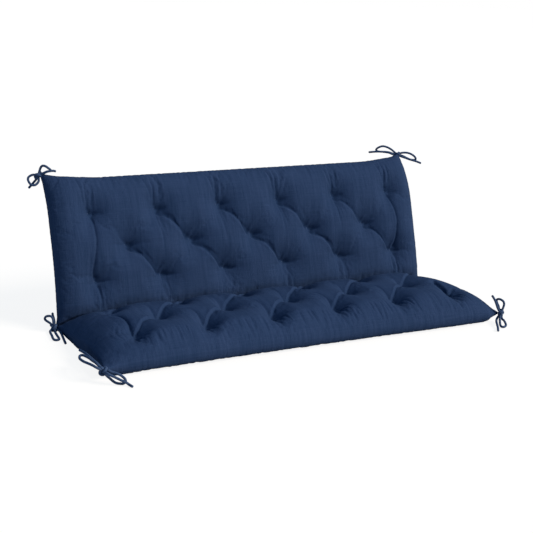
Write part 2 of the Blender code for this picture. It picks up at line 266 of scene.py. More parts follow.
def read(items, name, width, kind=float):
    """A value of every item of a mesh as an array, width numbers to an item."""
    values = np.zeros(len(items) * width, kind)
    items.foreach_get(name, values)
    return values.reshape(-1, width) if width > 1 else values


# ---- camera


def add_camera():
    data = bpy.data.cameras.new("camera")
    data.lens = CAMERA_LENS
    data.sensor_width = 36.0
    camera = new_object("camera", data)
    turn = (Matrix.Rotation(CAMERA_AZIMUTH, 4, "Z")
            @ Matrix.Rotation(math.pi / 2 - CAMERA_ELEVATION, 4, "X")
            @ Matrix.Rotation(CAMERA_ROLL, 4, "Z"))
    place = CAMERA_AIM + turn @ Vector((0, 0, CAMERA_DISTANCE))
    camera.matrix_world = Matrix.Translation(place) @ turn
    bpy.context.scene.camera = camera


# ---- the mat's form


def half_rows(rows):
    """The tufts of one half as (u, t): the rows of 6, of 5 and of 6."""
    return [[((i - (count - 1) / 2) * TUFT_PITCH, t) for i in range(count)]
            for count, t in zip((6, 5, 6), rows)]


SEAT_TUFTS = half_rows(SEAT_ROWS)
BACK_TUFTS = half_rows(BACK_ROWS)
TUFTS = [tuft for half in (SEAT_TUFTS, BACK_TUFTS) for row in half for tuft in row]


def tuft_distance(u, t, tuft, sides):
    """The distance from a tuft, stretched by one factor to its left and another to its right."""
    across = (u - tuft[0]) * np.where(u > tuft[0], sides[1], sides[0])
    return np.hypot(across, t - tuft[1])


def edge_distance(u, t):
    """The distance from the nearest sewn edge."""
    return np.minimum(WIDTH / 2 - np.abs(u), np.minimum(t + SEAT_DEPTH, BACK_HEIGHT - t))


def hollows(u, t):
    """The share of the crown's thickness that the tufts leave."""
    share = np.ones_like(u)
    for tuft in TUFTS:
        sides = BACK_HOLLOW_SIDES if tuft[1] > 0 else SEAT_HOLLOW_SIDES
        distance = tuft_distance(u, t, tuft, sides)
        dent = np.exp(-distance / HOLLOW_POINT) + np.exp(-(distance / HOLLOW_REACH) ** 2)
        share = share * (1 - TUFT_DEPTH * 0.5 * dent)
    return share


def drawn_down(u, t):
    """How far the seat's tufts draw down its upper cloth and the front roll before them."""
    dip = np.zeros_like(u)
    for row, depth in zip(SEAT_TUFTS, DIP_DEPTHS):
        for tuft in row:
            distance = tuft_distance(u, t, tuft, DIP_SIDES)
            dip = dip + depth * np.exp(-(distance / DIP_REACH) ** DIP_POWER)
    front = SEAT_TUFTS[0]
    for tuft in front:
        off_u, off_t = u - tuft[0] - SADDLE_PLACE[0], t - tuft[1] - SADDLE_PLACE[1]
        depth = LAST_SADDLE_DEPTH if tuft is front[-1] else SADDLE_DEPTH
        dip = dip + depth * np.exp(-(off_u / SADDLE_REACH) ** 2 - (off_t / SADDLE_REACH) ** 2)
    return dip * smooth((t + SEAT_DEPTH) / SEAM_FADE) * smooth((WIDTH / 2 - np.abs(u)) / SEAM_FADE)


def sagged(u, t):
    """How much lower the upper cloth lies at the right end of the seat's rear row."""
    sag = SAG_DEPTH * ramp(u, *SAG_SPAN) * np.exp(-((t - SAG_ROW) / SAG_REACH) ** 2) * (t < 0)
    return sag * smooth((WIDTH / 2 - u) / SEAM_FADE)


def bowed_front(u, t):
    """How far the seat's front edge bows forward, most towards its right corner."""
    bow = FRONT_BOW * ramp(u, *FRONT_BOW_SPAN) + FRONT_BULGE * ramp(u, *FRONT_BULGE_SPAN)
    bow = bow * smooth((WIDTH / 2 - u) / FRONT_CORNER_LENGTH)
    return bow * smooth(1 - (t + SEAT_DEPTH) / FRONT_BOW_REACH)


def fold_share(distance, crown, reach):
    """The share of a crown that is there at a distance from the fold."""
    return np.minimum(0.5 * SEAM_THICKNESS / crown + rounded(distance, reach), 1.0)


def crowned(u, t, face):
    """Half the mat's thickness without its tufts."""
    inside = WIDTH / 2 - np.abs(u)
    back = (BACK_CROWN * rounded(inside, BACK_SIDE_REACH) * rounded(BACK_HEIGHT - t, BACK_TOP_REACH)
            * fold_share(t, BACK_CROWN, BACK_FOLD_REACH))
    if face > 0:
        crown = SEAT_CROWN
        side_reach = SEAT_SIDE_REACH - LEFT_FILL * smooth(1 + t / LEFT_FILL_LENGTH) * (u < 0)
        edges = rounded(inside, side_reach) ** SEAT_SIDE_POWER
        edges = edges * rounded(t + SEAT_DEPTH, SEAT_FRONT_REACH)
    else:
        crown = UNDER_CROWN
        edges = rounded(inside, UNDER_SIDE_REACH) * rounded(t + SEAT_DEPTH, UNDER_FRONT_REACH)
    return np.where(t >= 0, back, crown * edges * fold_share(-t, crown, SEAT_FOLD_REACH))


def drawn_in(u, t):
    """The place on the mat once its edges are drawn in and its top corners stand up as ears."""
    last_u, last_t = BACK_TUFTS[2][-1]
    share = np.clip(-t / SEAT_DEPTH, 0, 1)
    seat = WIDTH / 2 - SEAT_SIDE_PULL * np.sin(math.pi * share) ** SIDE_PULL_POWER
    seat = seat - FOLD_END_PULL * smooth(1 + t / FOLD_END_LENGTH)
    share = np.clip(t / BACK_HEIGHT, 0, 1)
    back = WIDTH / 2 - FOLD_END_PULL
    back = back - BACK_SIDE_PULL * np.abs(np.sin(math.pi * share)) ** SIDE_PULL_POWER
    back = back - (TOP_CORNER_PULL - FOLD_END_PULL) * ramp(share, 1 - TOP_CORNER_SHARE, 1)
    width = np.where(t < 0, seat, back)
    beyond = (np.abs(u) - last_u) / (WIDTH / 2 - last_u)
    u = np.where(np.abs(u) > last_u, np.sign(u) * (last_u + beyond * (width - last_u)), u)
    top = BACK_HEIGHT - TOP_DIP * (1 - ramp(np.abs(u), WIDTH / 2 - EAR_LENGTH, WIDTH / 2))
    raised = last_t + (t - last_t) * (top - last_t) / (BACK_HEIGHT - last_t)
    return u, np.where(t > last_t, raised, t)


def lean_at(t):
    """How far the back leans, in radians, at a length above the fold."""
    return LEAN_AT_FOLD + LEAN_PER_METRE * t + BEND_PER_METRE * np.maximum(0.0, t - BEND_START)


def back_line(t):
    """The back's middle layer as y and z at a length above the fold."""
    y, z = np.zeros_like(t), np.full_like(t, FOLD_HEIGHT)
    for i in range(LEAN_STEPS):
        lean = lean_at((i + 0.5) * t / LEAN_STEPS)
        y = y + np.sin(lean) * t / LEAN_STEPS
        z = z + np.cos(lean) * t / LEAN_STEPS
    return y, z


def seat_height(u, t):
    """The height of the seat's middle layer, low at its seams and at the fold."""
    share = np.clip(-t / SEAT_DEPTH, 0, 1)
    seam = FOLD_HEIGHT + (FRONT_SEAM_HEIGHT - FOLD_HEIGHT) * share
    seam = seam + SIDE_SEAM_RISE * np.sin(math.pi * share ** SIDE_SEAM_POWER)
    ends = smooth((t + SEAT_DEPTH) / SEAT_FRONT_REACH) * smooth(-t / SEAT_FOLD_REACH)
    inside = smooth((WIDTH / 2 - np.abs(u)) / SEAT_SIDE_REACH) * ends
    return seam + (SEAT_MIDDLE_HEIGHT - seam) * inside


def mat_points(u, t, face, thickness):
    """Points of the upper (face 1) or lower (face -1) cloth at a distance from the middle layer."""
    thickness = thickness * face
    u, t = drawn_in(u, t)
    seat_z = seat_height(u, t) + thickness
    if face > 0:
        seat_z = np.minimum(seat_z, FOLD_HEIGHT + HALVING_SLOPE * -t - PRESS_GAP)
    else:
        seat_z = np.maximum(seat_z, 0.0)
    length = np.maximum(t, 0.0)
    y, z = back_line(length)
    y = y - thickness * np.cos(lean_at(length))
    z = z + thickness * np.sin(lean_at(length))
    if face > 0:
        y = np.where(t > 0, np.maximum(y, -(z - FOLD_HEIGHT - PRESS_GAP) / HALVING_SLOPE), y)
    seat = t < 0
    return np.stack([u, np.where(seat, t, y) + FOLD_Y, np.where(seat, seat_z, z)], -1)


def filled_form(u, t, face, fullness=1.0):
    """One face of the filled mat with its tufts, before its creases."""
    thickness = fullness * crowned(u, t, face) * hollows(u, t)
    if face > 0:
        thickness = thickness - drawn_down(u, t) - sagged(u, t)
    points = mat_points(u, t, face, thickness)
    points[..., 1] -= bowed_front(u, t)
    points[..., 2] += (CORNER_LIFT * ramp(np.abs(u), WIDTH / 2 - CORNER_REACH, WIDTH / 2)
                       * ramp(t, BACK_HEIGHT - CORNER_REACH, BACK_HEIGHT))
    for tie in TIES.values():
        side, end = tie["place"]
        near = np.exp(-(np.hypot(u - side * WIDTH / 2, t - end) / TIP_REACH) ** 2)
        points += TIP_LENGTH * near[..., None] * vector(tie["out"])
    return points


# ---- creases

# Kinds of creases. Each: its points in millimetres from their tuft as (u, t), with t away from the
# fold on both halves, then how deep it is pressed, how far its long slope and its steep rim reach,
# all in millimetres, and the shares of its length over which it starts and ends.
ARCH = (((-2, -6), (12, -19), (28, -25), (52, -42), (75, -67), (93, -91), (108, -110), (120, -113)),
    11.5, 24, 4.6, (0.04, 0.06))
ARCH_TWIN = (((46, -46), (66, -66), (84, -90), (100, -110)), 2.2, 4, 3.0, (0.3, 0.2))
DROP = (((0, -10), (4, -50), (8, -85), (9, -118), (6, -150)), 3.6, 11, 3.5, (0.1, 0.5))
DROP_TWIN = (((4, -18), (14, -50), (22, -86), (25, -120)), 1.6, 6, 3.0, (0.2, 0.5))
LEFT_SIDE = (((2, -8), (9, -22), (13, -50), (14, -80), (10, -112), (3, -154), (-3, -194),
    (-2, -228)), 8.5, 9, 3.2, (0.05, 0.05))
RIGHT_SIDE = (((0, -6), (6, -18), (15, -46), (22, -76), (25, -115), (23, -154), (18, -192),
    (4, -226)), 9.5, 12, 4.0, (0.05, 0.05))
SIDE_DROP = (((2, -6), (10, -24), (13, -50), (12, -78), (8, -110)), 6.0, 9, 4.0, (0.1, 0.3))
TOP_PLEATS = (
    (((1, 4), (0, 29), (-3, 50), (-3, 71), (-7, 96), (-10, 124)), 5.5, 7, 3.5, (0.05, 0.35)),
    (((-8, 16), (-15, 43), (-21, 68), (-30, 100), (-38, 124)), 3.6, 6, 3.5, (0.25, 0.25)),
    (((10, 20), (17, 48), (19, 78), (16, 108)), 2.8, 6, 3.5, (0.3, 0.4)),
)
FOLD_PLEATS = (
    (((3, -8), (10, -34), (14, -66), (15, -100)), 3.0, 9, 3.5, (0.2, 0.3)),
    (((-5, -10), (-10, -36), (-17, -66), (-22, -100)), 2.4, 8, 3.5, (0.25, 0.3)),
    (((10, -14), (22, -42), (28, -74), (30, -108)), 1.6, 9, 3.5, (0.3, 0.3)),
    (((-10, -16), (-28, -44), (-42, -80)), 1.4, 7, 3.5, (0.3, 0.4)),
)
FRONT_PLEATS = (
    (((0, 8), (-1, 22), (-3, 42), (-4, 72)), 4.0, 4.5, 2.8, (0.15, 0.6)),
    (((4, 6), (10, 20), (14, 40), (15, 70)), 4.6, 4.5, 2.8, (0.12, 0.6)),
    (((10, 6), (22, 16), (31, 34), (34, 60)), 4.0, 4.5, 2.8, (0.15, 0.6)),
    (((20, 5), (38, 12), (50, 28), (55, 50)), 2.8, 5, 3.0, (0.2, 0.6)),
    (((-6, 10), (-13, 26), (-17, 46), (-18, 70)), 2.8, 4.5, 2.8, (0.2, 0.6)),
    (((-14, 10), (-28, 24), (-35, 44), (-37, 64)), 1.8, 4.5, 2.8, (0.2, 0.6)),
)
SEAT_ARCH = (((0, -6), (13, -20), (30, -38), (50, -58), (74, -77), (98, -94), (118, -109)),
    9.0, 24, 2.6, (0.04, 0.15))
SEAT_DROP = (((-1, -8), (1, -40), (-2, -74), (-14, -102), (-36, -120), (-62, -126)),
    6.0, 9, 3.4, (0.08, 0.4))
SEAT_LEFT = (((-2, -8), (2, -40), (4, -80), (0, -114), (-12, -140), (-32, -154), (-54, -156)),
    13.0, 13, 4.5, (0.05, 0.3))
REAR_ARCH = (((0, -6), (12, -26), (30, -52), (54, -78), (78, -100), (96, -124)),
    9.0, 22, 4.0, (0.05, 0.2))
SEAT_RIGHT = (((2, -4), (7, -20), (8, -44), (5, -70), (1, -98)), 14.0, 5, 26.0, (0.04, 0.2))
SEAT_END_SLASH = (((0, -4), (14, -12), (30, -20), (52, -28)), 12.0, 22, 2.8, (0.04, 0.4))
END_RIDGE = (((-14, 14), (-40, 36), (-76, 64), (-112, 94), (-134, 113)), 3.0, 45, 26.0, (0.3, 0.1))
END_ARCS = (
    (((-12, 34), (-30, 22), (-40, 0), (-38, -26), (-26, -50)), 2.6, 5, 3.0, (0.3, 0.3)),
    (((-20, 46), (-46, 28), (-58, 0), (-54, -34), (-40, -62)), 2.2, 5, 3.0, (0.3, 0.3)),
    (((-34, 52), (-66, 30), (-78, 0), (-72, -40)), 1.8, 6, 3.5, (0.3, 0.3)),
    (((-10, 20), (-20, 12), (-24, -6), (-20, -28)), 2.4, 4, 2.6, (0.3, 0.3)),
)
TUFT_SLASH = (((-3, -1), (10, -4), (24, -4), (40, 0), (52, 5)), 7.0, 12, 3.2, (0.1, 0.7))
LEVEL_RIGHT = (((4, -2), (28, -4), (56, -2), (84, -2)), 2.6, 9, 3.5, (0.1, 0.6))
LEVEL_LEFT = (((-6, -4), (-26, -6), (-52, -4), (-70, -6)), 1.6, 5, 3.0, (0.1, 0.6))
TOP_RIGHT = (((6, -3), (24, -8), (55, -5), (73, -4)), 5.5, 12, 3.5, (0.1, 0.6))
MIDDLE_LEFT = (((-4, 1), (-20, 0), (-44, 3), (-66, 4)), 2.0, 5, 3.0, (0.1, 0.6))
MIDDLE_RISE = (((-2, 4), (-16, 20), (-32, 42)), 3.0, 8, 4.0, (0.1, 0.6))

# The gathers beside the long seams: where they start and about where they end, their pitch and
# depth, the reaches of their slope and rim, and their fade.
GATHERS = (
    (-0.398, -0.486, 0.0125, 0.0021, (0.0042, 0.0028), (0.25, 0.3)),
    (-0.404, -0.484, 0.0230, 0.0026, (0.0070, 0.0035), (0.3, 0.35)),
    (BACK_HEIGHT, BACK_HEIGHT - 0.07, 0.013, 0.0010, (0.0055, 0.0032), (0.12, 0.7)),
    (0.004, 0.090, 0.021, 0.0026, (0.0100, 0.0050), (0.1, 0.6)),
    (-0.004, -0.080, 0.016, 0.0012, (0.0060, 0.0035), (0.1, 0.6)),
)
GATHER_CORNER = 0.16

# A crease's section: the powers of its slope and rim, the sharp cut at its bottom as a share of
# its depth and of its slope, the lip beyond its rim likewise, and how far all of it is felt.
SLOPE_POWER, RIM_POWER = 1.4, 1.6
CUT_SHARE, CUT_REACH = 0.38, 0.22
LIP_SHARE, LIP_PLACE, LIP_REACH = 0.07, 2.6, 1.5
CREASE_REACH = 3.5

# A crease that rises less than this from end to end, in millimetres, counts as level.
LEVEL_RISE = 12

# The share of the crown that a crease may press in, and how near to the seams it fades out
PRESS_SHARE, PRESS_SPARE = 0.5, 0.001
CREASE_EDGE = 0.006


def crease(field, u, t, path, depth, slope, rim, fade, slope_on_left):
    """Presses a crease into field. Its long slope is on one side of it, its rim on the other."""
    reach = CREASE_REACH * max(slope, rim)
    low, high = path.min(0) - reach, path.max(0) + reach
    near = (u > low[0]) & (u < high[0]) & (t > low[1]) & (t < high[1])
    if not near.any():
        return
    near_u, near_t = u[near], t[near]
    distance = np.full(near_u.shape, np.inf)
    side = np.zeros_like(distance)
    share = np.zeros_like(distance)
    steps = path[1:] - path[:-1]
    lengths = np.hypot(steps[:, 0], steps[:, 1])
    runs = np.cumsum(lengths) - lengths
    for start, step, length, run in zip(path, steps, lengths, runs):
        along = step / length
        off_u, off_t = near_u - start[0], near_t - start[1]
        at = np.clip(off_u * along[0] + off_t * along[1], 0, length)
        off_u, off_t = off_u - at * along[0], off_t - at * along[1]
        off = np.hypot(off_u, off_t)
        closer = off < distance
        distance[closer] = off[closer]
        side[closer] = (along[0] * off_t - along[1] * off_u)[closer]
        share[closer] = ((run + at) / lengths.sum())[closer]
    on_slope = (side > 0) == slope_on_left
    ends = smooth(share / fade[0]) * smooth((1 - share) / fade[1])
    press = np.exp(-(distance / np.where(on_slope, slope, rim))
                   ** np.where(on_slope, SLOPE_POWER, RIM_POWER))
    cut = (1 - CUT_SHARE) * press + CUT_SHARE * np.exp(-distance / (CUT_REACH * slope))
    lip = LIP_SHARE * np.exp(-((distance - LIP_PLACE * rim) / (LIP_REACH * rim)) ** 2)
    field[near] += depth * ends * np.where(on_slope, cut, press - lip)


class Presser:
    """Presses creases into one face of the mat, each a little different from the next."""

    def __init__(self, u, t, seed):
        self.u, self.t = u, t
        self.field = np.zeros_like(u)
        self.draw = np.random.default_rng(seed)

    def press(self, tuft, *kinds, strength=1.0, wander=1.0):
        """Creases of some kinds at a tuft. Their points wander by some millimetres."""
        away = -1 if tuft[1] < 0 else 1
        for points, depth, slope, rim, fade in kinds:
            path = vector(points)
            path = path + self.draw.normal(0, wander, path.shape)
            path = vector(tuft) + smooth_path(path, 4) * (0.001, 0.001 * away)
            depth = 0.001 * depth * strength * self.draw.uniform(0.8, 1.15)
            widths = self.draw.uniform(0.85, 1.15, 2) * 0.001
            across, rise = vector(points[-1]) - points[0]
            slope_on_left = across > 0 if abs(rise) < LEVEL_RISE else rise < 0
            crease(self.field, self.u, self.t, path, depth, slope * widths[0], rim * widths[1],
                   fade, slope_on_left == (away > 0))

    def gather(self, start_t, end_t, pitch, depth, widths, fade):
        """Fine gathers beside a long seam, each unlike the next."""
        for i in range(int(WIDTH / pitch)):
            u = -WIDTH / 2 + (i + 0.5) * pitch + self.draw.normal(0, 0.25 * pitch)
            start = start_t + (end_t - start_t) * self.draw.uniform(0.0, 0.15)
            end = end_t + (start_t - end_t) * self.draw.uniform(0.0, 0.5)
            lean = self.draw.normal(0, 0.004)
            path = np.linspace((u, start), (u + lean, end), 6)
            path[:, 0] += self.draw.normal(0, 0.0008, 6)
            ends = float(smooth((WIDTH / 2 - abs(u)) / GATHER_CORNER))
            crease(self.field, self.u, self.t, path,
                   ends * depth * self.draw.uniform(0.15, 1.15) ** 1.6, *widths, fade,
                   end_t > start_t)


def press_back(presser):
    """The creases of the back, from its top row of tufts down."""
    bottom, middle, top = BACK_TUFTS
    for i in range(5):
        if i > 0:
            presser.press(top[i], ARCH, ARCH_TWIN, DROP, DROP_TWIN)
        presser.press(middle[i], ARCH, MIDDLE_LEFT, MIDDLE_RISE)
    presser.press(top[0], LEFT_SIDE)
    presser.press(top[5], RIGHT_SIDE)
    presser.press(top[0], TOP_RIGHT)
    presser.press(top[5], TOP_RIGHT, strength=0.7)
    for tuft in (bottom[0], bottom[5]):
        presser.press(tuft, SIDE_DROP)
    for tuft in top:
        presser.press(tuft, *TOP_PLEATS, wander=2.0)
    for tuft in [*bottom, *middle, *top[:5]]:
        presser.press(tuft, TUFT_SLASH, wander=0.6)
    for tuft in bottom:
        presser.press(tuft, *FOLD_PLEATS, wander=3.0)
        presser.press(tuft, LEVEL_RIGHT, LEVEL_LEFT)


def press_seat(presser):
    """The creases of the seat, from its front row of tufts back to the fold."""
    front, middle, rear = SEAT_TUFTS
    for i in range(5):
        presser.press(front[i], SEAT_ARCH)
        presser.press(middle[i], SEAT_ARCH)
        if i > 0:
            presser.press(front[i], SEAT_DROP)
        presser.press(middle[i], SEAT_DROP, strength=0.5)
    for tuft in rear:
        presser.press(tuft, REAR_ARCH)
    presser.press(front[0], SEAT_LEFT)
    presser.press(front[5], SEAT_RIGHT, SEAT_END_SLASH)
    presser.press(front[0], END_RIDGE)
    presser.press(front[0], *END_ARCS, wander=2.0)
    for tuft in front:
        presser.press(tuft, *FRONT_PLEATS, wander=1.5)


def pressed(u, t, face):
    """How far the creases press the cloth in. The hidden face has them the other way round."""
    presser = Presser(u if face > 0 else -u, t, 7 if face > 0 else 8)
    press_back(presser)
    press_seat(presser)
    for row in GATHERS:
        presser.gather(*row)
    return presser.field


def outwards(points, face):
    """The direction out of the mat at each point of one face's grid."""
    return unit(np.cross(np.gradient(points, axis=1), np.gradient(points, axis=0)) * face)


def kept_in(points, t, face):
    """The points, none under the floor and none of the upper cloth past the halving plane."""
    x, y, z = points[..., 0], points[..., 1], points[..., 2]
    z = np.maximum(z, 0.0)
    if face > 0:
        most = FOLD_HEIGHT + HALVING_SLOPE * (FOLD_Y - y) - PRESS_GAP
        z = np.where(t < 0, np.minimum(z, most), z)
        least = FOLD_Y - (z - FOLD_HEIGHT - PRESS_GAP) / HALVING_SLOPE
        y = np.where(t > 0, np.maximum(y, np.minimum(least, FOLD_Y)), y)
    return np.stack([x, y, z], -1)


def creased(points, u, t, face):
    """A face's form with its creases pressed in across its surface."""
    press = np.minimum(pressed(u, t, face), PRESS_SHARE * crowned(u, t, face) + PRESS_SPARE)
    press = press * smooth(edge_distance(u, t) / CREASE_EDGE) * smooth(np.abs(t) / CREASE_EDGE)
    return kept_in(points - press[..., None] * outwards(points, face), t, face)


# ---- meshes


def add_piece(name, mesh, look, replaced=()):
    mesh.materials.clear()
    mesh.materials.append(look)
    mesh.shade_smooth()
    made = new_object(name, mesh)
    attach(made, "root")
    if replaced:
        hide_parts(*replaced)
    return made


def grid_form(columns, rows):
    """A flat grid in a bmesh, with the column and row of each of its vertices."""
    form = bmesh.new()
    form.loops.layers.uv.new("UVMap")
    bmesh.ops.create_grid(form, x_segments=columns, y_segments=rows, size=0.5, calc_uvs=True)
    column = vector([round((v.co.x + 0.5) * columns) for v in form.verts]).astype(int)
    row = vector([round((v.co.y + 0.5) * rows) for v in form.verts]).astype(int)
    return form, column, row


def lay_out(form, places, flat):
    """Puts each vertex of a grid on its place and on its flat place in the UVs."""
    for vertex, place in zip(form.verts, places):
        vertex.co = place
    uv = form.loops.layers.uv.active
    flat = dict(zip(form.verts, flat))
    for quad in form.faces:
        for loop in quad.loops:
            loop[uv].uv = flat[loop.vert]


def grid_mesh(points, u, t, face):
    """A bmesh grid put on the points of one face, with UVs in metres of cloth."""
    form, column, row = grid_form(u.shape[1] - 1, u.shape[0] - 1)
    lay_out(form, points[row, column], np.stack([u, t], -1)[row, column])
    if face < 0:
        bmesh.ops.reverse_faces(form, faces=form.faces)
    return form


def sewn_mesh(name, forms):
    """Both faces in one mesh, sewn together along their edges."""
    mesh = bpy.data.meshes.new(name)
    whole = bmesh.new()
    for form in forms:
        form.to_mesh(mesh)
        form.free()
        whole.from_mesh(mesh)
    bmesh.ops.remove_doubles(whole, verts=whole.verts, dist=0.00005)
    whole.to_mesh(mesh)
    whole.free()
    return mesh


def cloth_places(mesh):
    """The place on the mat, (u, t), of each vertex of a mesh, from its UVs."""
    flat = np.zeros((len(mesh.vertices), 2))
    flat[read(mesh.loops, "vertex_index", 1, int)] = read(mesh.uv_layers.active.data, "uv", 2)
    return flat


def cloth_grid(cell_across, cell_along):
    """The u and t of each row and column of a grid over the cloth, with a row on the fold."""
    columns = round(WIDTH / cell_across / 2) * 2
    seat_rows, back_rows = round(SEAT_DEPTH / cell_along), round(BACK_HEIGHT / cell_along)
    t = np.concatenate([np.linspace(-SEAT_DEPTH, 0, seat_rows + 1),
                        np.linspace(0, BACK_HEIGHT, back_rows + 1)[1:]])
    return np.meshgrid(np.linspace(-WIDTH / 2, WIDTH / 2, columns + 1), t)


# ---- the filling's swelling, as a cloth simulation on a coarser grid

SWELL_CELL = 0.0075
SWELL_START = 0.98
SWELL_UNEVENNESS = 0.0004
SWELL_FRAMES = 20
SWELL_PRESSURE = 4.0
SWELL_SPARE_CLOTH = 0.022
SWELL_CAP = 0.010
SWELL_SHARE = 0.6
SEAM_GRIP = (0.002, 0.014)
TUFT_GRIP = (0.011, 0.021)


def grip(u, t):
    """How firmly the seams, the fold and the tufts hold the cloth, from 0 to 1."""
    held = 1 - ramp(np.minimum(edge_distance(u, t), np.abs(t)), *SEAM_GRIP)
    for tuft_u, tuft_t in TUFTS:
        held = np.maximum(held, 1 - ramp(np.hypot(u - tuft_u, t - tuft_t), *TUFT_GRIP))
    return held


def simulated(mesh, held):
    """The places of a mesh's vertices once its cloth is blown up, held as firmly as given."""
    body = new_object("swelling", mesh)
    group = body.vertex_groups.new(name="held")
    for index, weight in enumerate(held):
        group.add([index], float(weight), "REPLACE")
    cloth = body.modifiers.new("swelling", "CLOTH")
    cloth.collision_settings.use_collision = False
    settings = cloth.settings
    settings.quality = 4
    settings.mass = 0.2
    settings.tension_stiffness = 12
    settings.compression_stiffness = 8
    settings.shear_stiffness = 4
    settings.bending_stiffness = 0.05
    settings.vertex_group_mass = "held"
    settings.pin_stiffness = 1.0
    settings.use_pressure = True
    settings.uniform_pressure_force = SWELL_PRESSURE
    settings.shrink_min = -SWELL_SPARE_CLOTH
    settings.effector_weights.gravity = 0.0
    cloth.point_cache.frame_start = 1
    cloth.point_cache.frame_end = SWELL_FRAMES
    scene = bpy.context.scene
    for step in range(1, SWELL_FRAMES + 1):
        scene.frame_set(step)
    seen = body.evaluated_get(bpy.context.evaluated_depsgraph_get())
    places = read(seen.data.vertices, "co", 3)
    scene.frame_set(1)
    bpy.data.objects.remove(body)
    return places


def swollen():
    """How the filling moves the cloth: a coarse grid's u and t, and each face's moves on it."""
    u, t = cloth_grid(SWELL_CELL, SWELL_CELL)
    draw = np.random.default_rng(11)
    unheld = (1 - grip(u, t))[..., None]
    starts = {}
    for face in (1, -1):
        points = filled_form(u, t, face, SWELL_START)
        starts[face] = points + draw.normal(0, SWELL_UNEVENNESS, points.shape) * unheld
    mesh = sewn_mesh("swelling", [grid_mesh(starts[face], u, t, face) for face in starts])
    flat = cloth_places(mesh)
    before = read(mesh.vertices, "co", 3)
    after = simulated(mesh, grip(flat[:, 0], flat[:, 1]))
    rows = np.searchsorted(t[:, 0], flat[:, 1] - 1e-6)
    columns = np.searchsorted(u[0], flat[:, 0] - 1e-6)
    moves = {}
    for face, start in starts.items():
        mine = np.linalg.norm(start[rows, columns] - before, axis=1) < 1e-4
        move = np.zeros_like(start)
        move[rows[mine], columns[mine]] = (after - before)[mine]
        length = np.maximum(np.linalg.norm(move, axis=-1), 1e-9)[..., None]
        moves[face] = move * SWELL_SHARE * np.minimum(1.0, SWELL_CAP / length)
    return u[0], t[:, 0], moves


def spread(line_u, line_t, values, u, t):
    """Values of the coarse grid at the places of a finer one, on smooth curves through them."""
    columns = np.interp(u[0], line_u, np.arange(len(line_u)))
    rows = np.interp(t[:, 0], line_t, np.arange(len(line_t)))
    return along_curves(np.swapaxes(along_curves(np.swapaxes(values, 0, 1), columns), 0, 1), rows)


def along_curves(values, places):
    """Rows of values at fractional places, on smooth curves through the rows."""
    last = len(values) - 1
    start = np.clip(places.astype(int), 0, last - 1)
    return on_curve(values[np.maximum(start - 1, 0)], values[start], values[start + 1],
                    values[np.minimum(start + 2, last)], (places - start)[:, None, None])


# ---- the mat

CELL_ACROSS = 0.003
CELL_ALONG = 0.0035
# How much the tufts' dents count in the painted shade of the cloth's colour, and the crease depth
# at which that painted shade is full
HOLLOW_SHADE_WEIGHT = 0.9
CREASE_SHADE_DEPTH = 0.016
THREAD_RADIUS = 0.0007
THREAD_SPAN = 0.0045
THREAD_RISE = 0.0012
THREAD_SINK = 0.0004
THREAD_TURNS = (0.5, -0.6)
THREAD_SIDES = 6


def add_cushion(look, thread_look):
    u, t = cloth_grid(CELL_ACROSS, CELL_ALONG)
    swell = swollen()
    forms, threads = [], bmesh.new()
    for face in (1, -1):
        if swell is None:
            points = filled_form(u, t, face)
        else:
            line_u, line_t, moves = swell
            points = filled_form(u, t, face, SWELL_START)
            points = kept_in(points + spread(line_u, line_t, moves[face], u, t), t, face)
        points = creased(points, u, t, face)
        forms.append(grid_mesh(points, u, t, face))
        add_threads(threads, points, u, t, face)
    mesh = sewn_mesh("cushion_cloth", forms)
    # Painted shade: each vertex keeps how far the cloth's colour is darkened in the dents and
    # creases
    mark_painted_shade(mesh)
    made = add_piece("cushion_cloth", mesh, look, ["cushion"])
    add_piece("tuft_threads", mesh_of(threads, "tuft_threads"), thread_look)


def mark_painted_shade(mesh):
    """Keeps on each vertex how much painted shade it takes, from how far it lies in a tuft's dent
    or a crease, for darkening the cloth's colour.
    """
    flat = cloth_places(mesh)
    normals = read(mesh.vertices, "normal", 3)
    upper = np.where(flat[:, 1] < 0, normals[:, 2] > 0, normals[:, 1] < 0)
    shade_share = np.zeros(len(flat))
    for face, mine in ((1, upper), (-1, ~upper)):
        u, t = flat[mine].T
        shade_share[mine] = (HOLLOW_SHADE_WEIGHT * (1 - hollows(u, t))
                      + pressed(u, t, face) / CREASE_SHADE_DEPTH)
    mark = mesh.attributes.new("painted_shade", "FLOAT", "POINT")
    mark.data.foreach_set("value", np.clip(shade_share, 0, 1))


def add_threads(threads, points, u, t, face):
    """Two short crossed stitches at the bottom of each tuft."""
    normals = outwards(points, face)
    for tuft_u, tuft_t in TUFTS:
        row, column = np.abs(t[:, 0] - tuft_t).argmin(), np.abs(u[0] - tuft_u).argmin()
        place, out = points[row, column], normals[row, column]
        for turn in THREAD_TURNS:
            level = unit(np.cross(out, (math.sin(turn), 0.2, math.cos(turn))))
            across = np.cross(out, level)
            made_before = len(threads.verts)
            bmesh.ops.create_cone(threads, cap_ends=True, segments=THREAD_SIDES,
                                  radius1=THREAD_RADIUS, radius2=THREAD_RADIUS,
                                  depth=2 * THREAD_SPAN)
            threads.verts.ensure_lookup_table()
            edges = {edge for vertex in threads.verts[made_before:] for edge in vertex.link_edges
                     if abs(edge.verts[0].co.z - edge.verts[1].co.z) > THREAD_SPAN}
            bmesh.ops.subdivide_edges(threads, edges=list(edges), cuts=4)
            threads.verts.ensure_lookup_table()
            for vertex in threads.verts[made_before:]:
                x, y, z = vertex.co
                rise = THREAD_RISE * (1 - (z / THREAD_SPAN) ** 2) - THREAD_SINK
                vertex.co = place + z * level + y * across + (x + rise) * out


# ---- the ties

